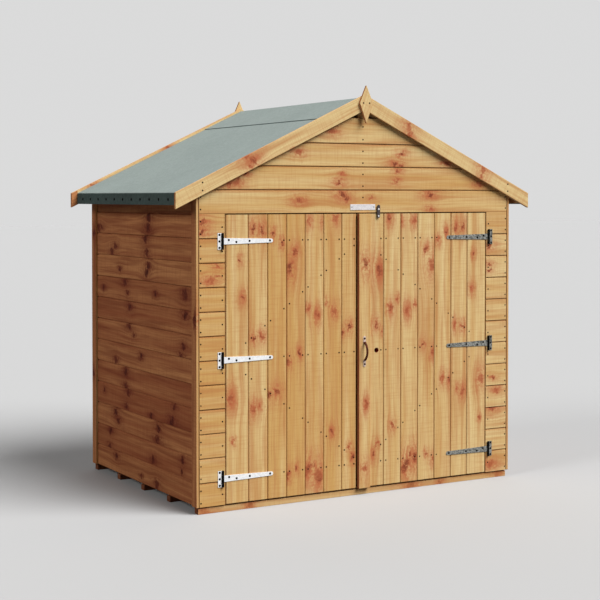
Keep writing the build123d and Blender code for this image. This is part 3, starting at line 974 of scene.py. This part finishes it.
def timber_axes(solid):
    """The length, breadth and thickness directions of one timber, from its longest edges."""
    ways = sorted((e.verts[1].co - e.verts[0].co for e in solid.edges), key=lambda way: -way.length)
    along = ways[0].normalized()
    if along[max(range(3), key=lambda i: abs(along[i]))] < 0:
        along = -along
    flats = [way - along * way.dot(along) for way in ways]
    across = max(flats, key=lambda way: way.length).normalized()
    return along, across, along.cross(across)


def ease(solid, size, segments=2, choose=None):
    """Rounds a solid's sharp edges."""
    edges = [e for e in solid.edges if len(e.link_faces) == 2 and e.calc_face_angle() > SHARP_ANGLE]
    edges = [e for e in edges if choose is None or choose(e)]
    bmesh.ops.bevel(solid, geom=edges, offset=size, segments=segments, profile=0.5, affect="EDGES",
                    clamp_overlap=True)
    solid.verts.index_update()


def dress_timber(node, name, materials, body, seed, tone=PLAIN_TONE, spacing=TIMBER_SPACING, knots=(),
                 choose=None, joint=None):
    """A node's timbers with eased edges and their own grain; joint is where the painted shade may change
    along X.
    """
    pieces = Pieces(seed)
    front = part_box(node)[0].y
    for solid in solids_of(node):
        axes = timber_axes(solid)
        for place_x in (-joint, joint) if joint else ():
            whole = solid.verts[:] + solid.edges[:] + solid.faces[:]
            bmesh.ops.bisect_plane(solid, geom=whole, plane_co=X_AXIS * place_x, plane_no=X_AXIS)
        ease(solid, TIMBER_BEVEL)
        spots = [vert.co.copy() for vert in solid.verts]
        base = [min(p.dot(axis) for p in spots) for axis in axes]
        grain = [tuple(p.dot(axis) - start for axis, start in zip(axes, base)) for p in spots]
        length = max(g[0] for g in grain)
        width = max(g[1] for g in grain)
        faces = [[vert.index for vert in face.verts] for face in solid.faces]
        own = []
        for x, z, radius, lean in knots:
            spot = Vector((x, front, z))
            own.append((spot.dot(axes[0]) - base[0], spot.dot(axes[1]) - base[1], radius, lean))
        own = own or scatter_knots(pieces.random, length, width, spacing)
        pieces.add(spots, faces, grain, width, own, tone)
        solid.free()
    pieces.finish(name, materials, body, node, choose)


def framing():
    nodes = [
        "left_studs", "left_rails", "right_studs", "right_rails", "back_studs", "back_rails", "back_rafters",
        "front_studs", "front_rails", "front_rafters", "left_roof_battens", "right_roof_battens",
    ]
    for i, node in enumerate(nodes):
        dress_timber(node, f"{node}_sawn", [BARE_WOOD], "shed", SEEDS["frame"] + i)
    doors = [(side, part) for side in ("left", "right") for part in ("ledges", "braces")]
    for i, (side, part) in enumerate(doors):
        node = f"{side}_door_{part}"
        dress_timber(node, f"{node}_sawn", [BARE_WOOD, BORE_PAINTED_SHADE], f"{side}_door", SEEDS["door_frame"] + i,
                     choose=in_keyhole)


def bearer_shade(face):
    """Picks the front pine for the front bearer's outer face; the other faces take the bearers' painted
    shade.
    """
    return 1 if face.normal.y < -FACING and face.center.y < FRONT + FRAME_STEP else 0


def corner_shade_and_light(face):
    """Picks the front pine for what looks to the front and for the rear trims' backs, and the side pine's
    painted shade for the rest; the rear trims' front faces lie in shade but are painted lit.
    """
    return 1 if abs(face.normal.y) > FACING and (face.normal.y < 0 or face.center.y > 0) else 0


def left_shade(face):
    """Picks the side pine's painted shade for what looks to the left, and the front pine for the rest."""
    return 0 if face.normal.x < -FACING else 1


def barge_shade(face):
    """Painted shade for what looks to the left and for the tails' inner faces past the eaves; the front pine
    for the rest.
    """
    tail = face.normal.y * face.center.y < -TAIL_INWARD and abs(face.center.x) > EAVE
    return 0 if tail else left_shade(face)


def trim():
    dress_timber("floor_bearers", "floor_bearers_sawn", [BEARER_PAINTED_SHADE, FRONT_WOOD], "shed", SEEDS["bearers"],
                 BEARER_TONE, knots=PLINTH_KNOTS, choose=bearer_shade)
    dress_timber("corner_trims", "corner_trims_planed", TRIM_SHADE_AND_LIT, "shed", SEEDS["trims"], TRIM_TONE,
                 TRIM_SPACING, choose=corner_shade_and_light)
    dress_timber("finials", "finials_planed", TRIM_SHADE_AND_LIT, "shed", SEEDS["finials"], FINIAL_TONE, NO_KNOTS,
                 choose=left_shade)
    dress_timber("meeting_strip", "meeting_strip_planed", TRIM_SHADE_AND_LIT, "right_door", SEEDS["strip"],
                 STRIP_TONE, knots=STRIP_KNOTS, choose=left_shade)
    for i, (end, knots) in enumerate(BARGE_KNOTS.items()):
        node = f"{end}_bargeboard"
        dress_timber(node, f"{node}_planed", TRIM_SHADE_AND_LIT, "shed", SEEDS["barge"] + i, BARGE_TONE, knots=knots,
                     choose=barge_shade, joint=EAVE)


def dress_metal(node, name, materials, body, slot, choose=None, size=METAL_BEVEL):
    """A node's solids with eased edges, joined."""
    points = []
    faces = []
    for solid in solids_of(node):
        ease(solid, size)
        base = len(points)
        points += [vert.co.copy() for vert in solid.verts]
        faces += [[base + vert.index for vert in face.verts] for face in solid.faces]
        solid.free()
    place(name, mesh_of(name, points, faces), materials, body, slot, [node], choose)


def metalwork():
    # The left hinges take the whiter zinc, a painted reflection
    for side, zinc in (("left", ZINC_PAINTED_REFLECTION), ("right", ZINC_GREY)):
        pin = PINS[f"{side}_door"]
        dark = BARREL_SHADE_FACING[side]

        # The black barrel faces; on the right hinges only the left side, painted shade
        def barrel(face, pin=pin, dark=dark):
            away = math.hypot(face.center.x - pin.x, face.center.y - pin.y)
            return 1 if away < BARREL_RADIUS and face.normal.x < dark else 0

        for part, body in (("plates", "shed"), ("straps", f"{side}_door")):
            dress_metal(f"{side}_hinge_{part}", f"{side}_{part}_zinc", [zinc, SCREW], body,
                        "galvanised_steel", barrel)
    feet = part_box("door_handle")[1].y - FOOT_THICK - MM / 2
    dress_metal("door_handle", "door_handle_bow", [BRONZE, FOOT_METAL], "right_door", "bronzed_metal",
                lambda face: 1 if face.center.y > feet else 0, HANDLE_BEVEL)
    dress_metal("lock_case", "lock_case_box", [BLACK_METAL], "right_door", "black_lacquer")
    dress_metal("turn_button", "turn_button_plate", [DARK_ZINC], "turn_button", "galvanised_steel")


def roof_felt():
    """Felt sheets with a rounded fold at the eave; their turned-down and steep faces take a darker felt,
    painted shade.
    """
    for node in ("left_roof_felt", "right_roof_felt", "ridge_felt"):
        low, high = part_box(node)
        reach = max(-low.x, high.x)

        def fold(edge, reach=reach, above=low.z + FOLD_ABOVE):
            return all(abs(abs(v.co.x) - reach) < MM and v.co.z > above for v in edge.verts)

        (solid,) = solids_of(node)
        if node != "ridge_felt":
            ease(solid, FOLD_RADIUS, FOLD_STEPS, fold)
        place(f"{node}_sheet", baked(node, solid), [FELT, FELT_SHADE_AND_BITUMEN], "shed", "roofing_felt", [node],
              lambda face: 1 if face.normal.z < LEVEL else 0)


def lap_beads():
    """Bitumen beads along both lower edges of the ridge strip, in the darker felt: real bitumen, darkened as
    painted shade along the strip's edge.
    """
    low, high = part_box("ridge_felt")
    edge = min(p.z for p in points_of("ridge_felt") if p.x > high.x - 2 * MM)
    over = high.x - LAP_BEAD * LAP_OVER_SHARE
    far = high.x + LAP_BEAD
    across = [(over, LAP_RISE), (far, LAP_RISE * LAP_EDGE_SHARE), (far, -LAP_RISE)]
    points = []
    faces = []
    for sign in (-1, 1):
        base = len(points)
        for y in (low.y, high.y):
            points += [(sign * x, y, edge - (x - high.x) * ROOF_SLOPE + rise) for x, rise in across]
        faces += prism(base, len(across))
    mesh = mesh_of("lap_beads", points, faces)
    face_outward(mesh)
    place("ridge_lap_beads", mesh, [FELT_SHADE_AND_BITUMEN], "shed", "roofing_felt")


# Nails, screws and the bare plate


def add_heads(name, spots, radius, material, body, proud=HEAD_PROUD, outward=lambda spot: -Y_AXIS):
    """Small round heads in one mesh; outward tells which way the head at a spot looks."""
    n = HEAD_SIDES
    points = []
    faces = []
    for spot in spots:
        way = outward(spot)
        side = Z_AXIS.cross(way).normalized()
        up = way.cross(side)
        base = len(points)
        for share, rise in HEAD_RINGS:
            for i in range(n):
                angle = 2 * math.pi * i / n
                spoke = side * math.cos(angle) + up * math.sin(angle)
                points.append(spot + spoke * radius * share + way * (proud * rise))
        faces += band(base, n) + band(base + n, n)
        faces.append([base + 2 * n + i for i in range(n)])
    mesh = mesh_of(name, points, faces)
    face_outward(mesh)
    place(name, mesh, [material], body, "galvanised_steel")


def middle(box):
    return (box[0] + box[1]) / 2


def clear_of(boxes, x, z):
    """Whether a nail here misses all the boxes, seen from the front."""
    r = NAIL_RADIUS
    return not any(low.x - r < x < high.x + r and low.z - r < z < high.z + r for low, high in boxes)


def brace_lines(side):
    """Middle and slope of each brace of a door, seen from the front."""
    lines = []
    for solid in solids_of(f"{side}_door_braces"):
        spots = [vert.co for vert in solid.verts]
        centre = sum(spots, Vector()) / len(spots)
        along = timber_axes(solid)[0]
        lines.append((centre, along.z / along.x))
        solid.free()
    return lines


def door_nails(side, sign):
    """Two nails a board at each ledge and brace, but for what the hinges and the strip cover."""
    spots = []
    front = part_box(f"{side}_door_boards")[0].y
    covers = solid_boxes(f"{side}_hinge_straps") + [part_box("meeting_strip")]
    rows = [middle(box).z for box in solid_boxes(f"{side}_door_ledges")]
    braces = brace_lines(side)
    for outer, inner in door_edges(side, sign):
        for x in (outer - sign * NAIL_EDGE, inner + sign * NAIL_EDGE):
            for z in rows + [centre.z + (x - centre.x) * slope for centre, slope in braces]:
                away = (Vector((x, front, z)) - KEYHOLE[0]).length
                if clear_of(covers, x, z) and away > KEYHOLE[1] * KEYHOLE_CLEAR_SHARE:
                    spots.append(Vector((x, front + NAIL_SINK, z)))
    add_heads(f"{side}_door_nails", spots, NAIL_RADIUS, NAIL, f"{side}_door")


def wall_nails():
    """Nails of the cladding beside and above the doors, of the bargeboards and of the finials."""
    covers = solid_boxes("left_hinge_plates") + solid_boxes("right_hinge_plates")
    covers.append([Vector((x, 0, z)) for x, z in SIGN_PLATE])
    rows = []
    for side, sign in SIDES:
        low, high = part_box(f"front_{side}_panel")
        outer = sign * (WALL_HALF - CORNER_NAIL_EDGE)
        inner = (low.x if sign > 0 else high.x) + sign * JAMB_NAIL_EDGE
        for course in courses(CLAD_BOTTOM, HEAD + COURSE):
            rows += [(outer, course, share) for share in CORNER_NAIL_SHARES]
            if course[1] < HEAD + MM:
                rows.append((inner, course, JAMB_NAIL_SHARE))
    for course in courses(HEAD, GABLE_TOP):
        rows += [(0, course, share) for share in GABLE_NAIL_SHARES]
    spots = []
    for x, (bottom, top), share in rows:
        z = bottom + (top - bottom) * share
        if clear_of(covers, x, z):
            spots.append(Vector((x, FRONT + NAIL_SINK, z)))
    low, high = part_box("front_left_bargeboard")
    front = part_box("finials")[0].y
    edge = high.z - ROOF_SLOPE * BARGE_NAIL_X
    for sign in (-1, 1):
        spots += [Vector((sign * BARGE_NAIL_X, low.y, edge - drop)) for drop in BARGE_NAIL_DROPS]
        spots.append(Vector((sign * FINIAL_NAIL_X, front, high.z - FINIAL_NAIL_DROP)))
    add_heads("wall_nails", spots, NAIL_RADIUS, NAIL, "shed")


def clout_nails():
    """Felt nails along the turned-down band at both eaves."""
    spots = []
    for side, sign in SIDES:
        low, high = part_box(f"{side}_roof_felt")
        edge = low.x if sign < 0 else high.x
        fold = max(p.z for p in points_of(f"{side}_roof_felt") if abs(p.x - edge) < MM)
        step = (high.y - low.y) / CLOUT_COUNT
        z = low.z + (fold - low.z) * CLOUT_HEIGHT_SHARE
        spots += [Vector((edge, low.y + step * (i + CLOUT_START_SHARE), z)) for i in range(CLOUT_COUNT)]
    add_heads("clout_nails", spots, CLOUT_RADIUS, SCREW, "shed", CLOUT_PROUD,
              lambda spot: X_AXIS * math.copysign(1, spot.x))


def screws():
    """Heads on the hinges, the handle's feet and the turn button."""
    for side, sign in SIDES:
        pin = PINS[f"{side}_door"]
        fixed = []
        for low, high in solid_boxes(f"{side}_hinge_plates"):
            x = (high.x - PLATE_SCREW_EDGE) if sign > 0 else (low.x + PLATE_SCREW_EDGE)
            z = middle((low, high)).z
            fixed += [Vector((x, high.y - HINGE_STEEL, z + step * PLATE_SCREW_STEP)) for step in (-1, 0, 1)]
        add_heads(f"{side}_plate_screws", fixed, SCREW_RADIUS, SCREW, "shed")
        swung = []
        for low, high in solid_boxes(f"{side}_hinge_straps"):
            z = middle((low, high)).z
            swung += [Vector((pin.x - sign * run, high.y - HINGE_STEEL, z + rise))
                      for run, rise in STRAP_SCREWS]
        add_heads(f"{side}_strap_screws", swung, SCREW_RADIUS, SCREW, f"{side}_door")
    low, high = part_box("door_handle")
    x = middle((low, high)).x
    feet = [Vector((x, high.y - FOOT_THICK, z)) for z in (low.z + FOOT_SCREW, high.z - FOOT_SCREW)]
    add_heads("handle_screws", feet, SCREW_RADIUS, NAIL, "right_door")
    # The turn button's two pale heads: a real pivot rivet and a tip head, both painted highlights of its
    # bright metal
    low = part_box("turn_button")[0]
    pivot = PINS["turn_button"]
    bright = [Vector((pivot.x, low.y, z)) for z in (pivot.z, low.z + BUTTON_HEAD * 2)]
    add_heads("turn_button_rivet_and_highlights", bright, BUTTON_HEAD, STEEL_RIVET_AND_HIGHLIGHT, "turn_button")


def bare_plate():
    """A small plate without lettering above the doors, on two pins."""
    (x0, z0), (x1, z1) = SIGN_PLATE
    work = bmesh.new()
    bmesh.ops.create_cube(work, size=1.0)
    bmesh.ops.scale(work, verts=work.verts, vec=(x1 - x0, SIGN_THICK, z1 - z0))
    bmesh.ops.translate(work, verts=work.verts, vec=((x0 + x1) / 2, FRONT - SIGN_THICK / 2, (z0 + z1) / 2))
    ease(work, SIGN_BEVEL)
    place("bare_plate", baked("bare_plate", work), [SIGN], "shed", "galvanised_steel")
    ends = (x0 + SIGN_PIN_INSET, x1 - SIGN_PIN_INSET)
    pins = [Vector((x, FRONT - SIGN_THICK, (z0 + z1) / 2)) for x in ends]
    add_heads("plate_pins", pins, SIGN_PIN, NAIL, "shed")


# Stage


def stage():
    """A plain floor that looks pale and sends up no more light than bare ground."""
    corners = [(x * FLOOR_REACH, y * FLOOR_REACH, 0) for x, y in ((-1, -1), (1, -1), (1, 1), (-1, 1))]
    floor = mesh_of("floor", corners, [(0, 1, 2, 3)])
    s = Shader(bpy.data.materials.new("pale_floor"))
    colour = s.mix(s.seen(), rgb(*FLOOR_BOUNCE), rgb(*FLOOR_SEEN))
    floor.materials.append(s.surface(Base_Color=colour, Roughness=0.9, Specular_IOR_Level=0.05))
    put_in_scene("floor", floor)


def world():
    """Soft grey light, and a plain pale background where it is seen or mirrored."""
    made = bpy.data.worlds.new("studio")
    bpy.context.scene.world = made
    s = Shader(made, "ShaderNodeOutputWorld")
    inputs = {0: s.seen()}
    for i, strength in enumerate((AMBIENT, BACKGROUND), 1):
        light = s.node("ShaderNodeBackground", {"Color": WHITE, "Strength": strength})
        inputs[i] = light.outputs[0]
    choice = s.node("ShaderNodeMixShader", inputs)
    s.put(s.output.inputs[0], choice.outputs[0])


def sun(name, toward, energy, angle):
    data = bpy.data.lights.new(name, "SUN")
    data.energy = energy
    data.angle = math.radians(angle)
    lamp = put_in_scene(name, data)
    lamp.rotation_mode = "QUATERNION"
    lamp.rotation_quaternion = Vector(toward).to_track_quat("Z", "Y")


def camera():
    data = bpy.data.cameras.new("camera")
    data.lens = CAMERA_LENS
    data.sensor_width = SENSOR_WIDTH
    data.shift_y = CAMERA_SHIFT
    eye = put_in_scene("camera", data)
    eye.location = CAMERA_PLACE
    eye.rotation_euler = (math.radians(90 - CAMERA_PITCH), 0, math.radians(-CAMERA_YAW))
    bpy.context.scene.camera = eye


bpy.context.scene.view_settings.view_transform = "Standard"
stage()
world()
for sun_name, sun_settings in SUNS.items():
    sun(sun_name, *sun_settings)
camera()
side_walls()
end_walls()
for door_side, door_sign in SIDES:
    door_boards(door_side, door_sign)
    door_nails(door_side, door_sign)
floor_boards()
roof_boards()
framing()
trim()
roof_felt()
lap_beads()
metalwork()
wall_nails()
clout_nails()
screws()
bare_plate()
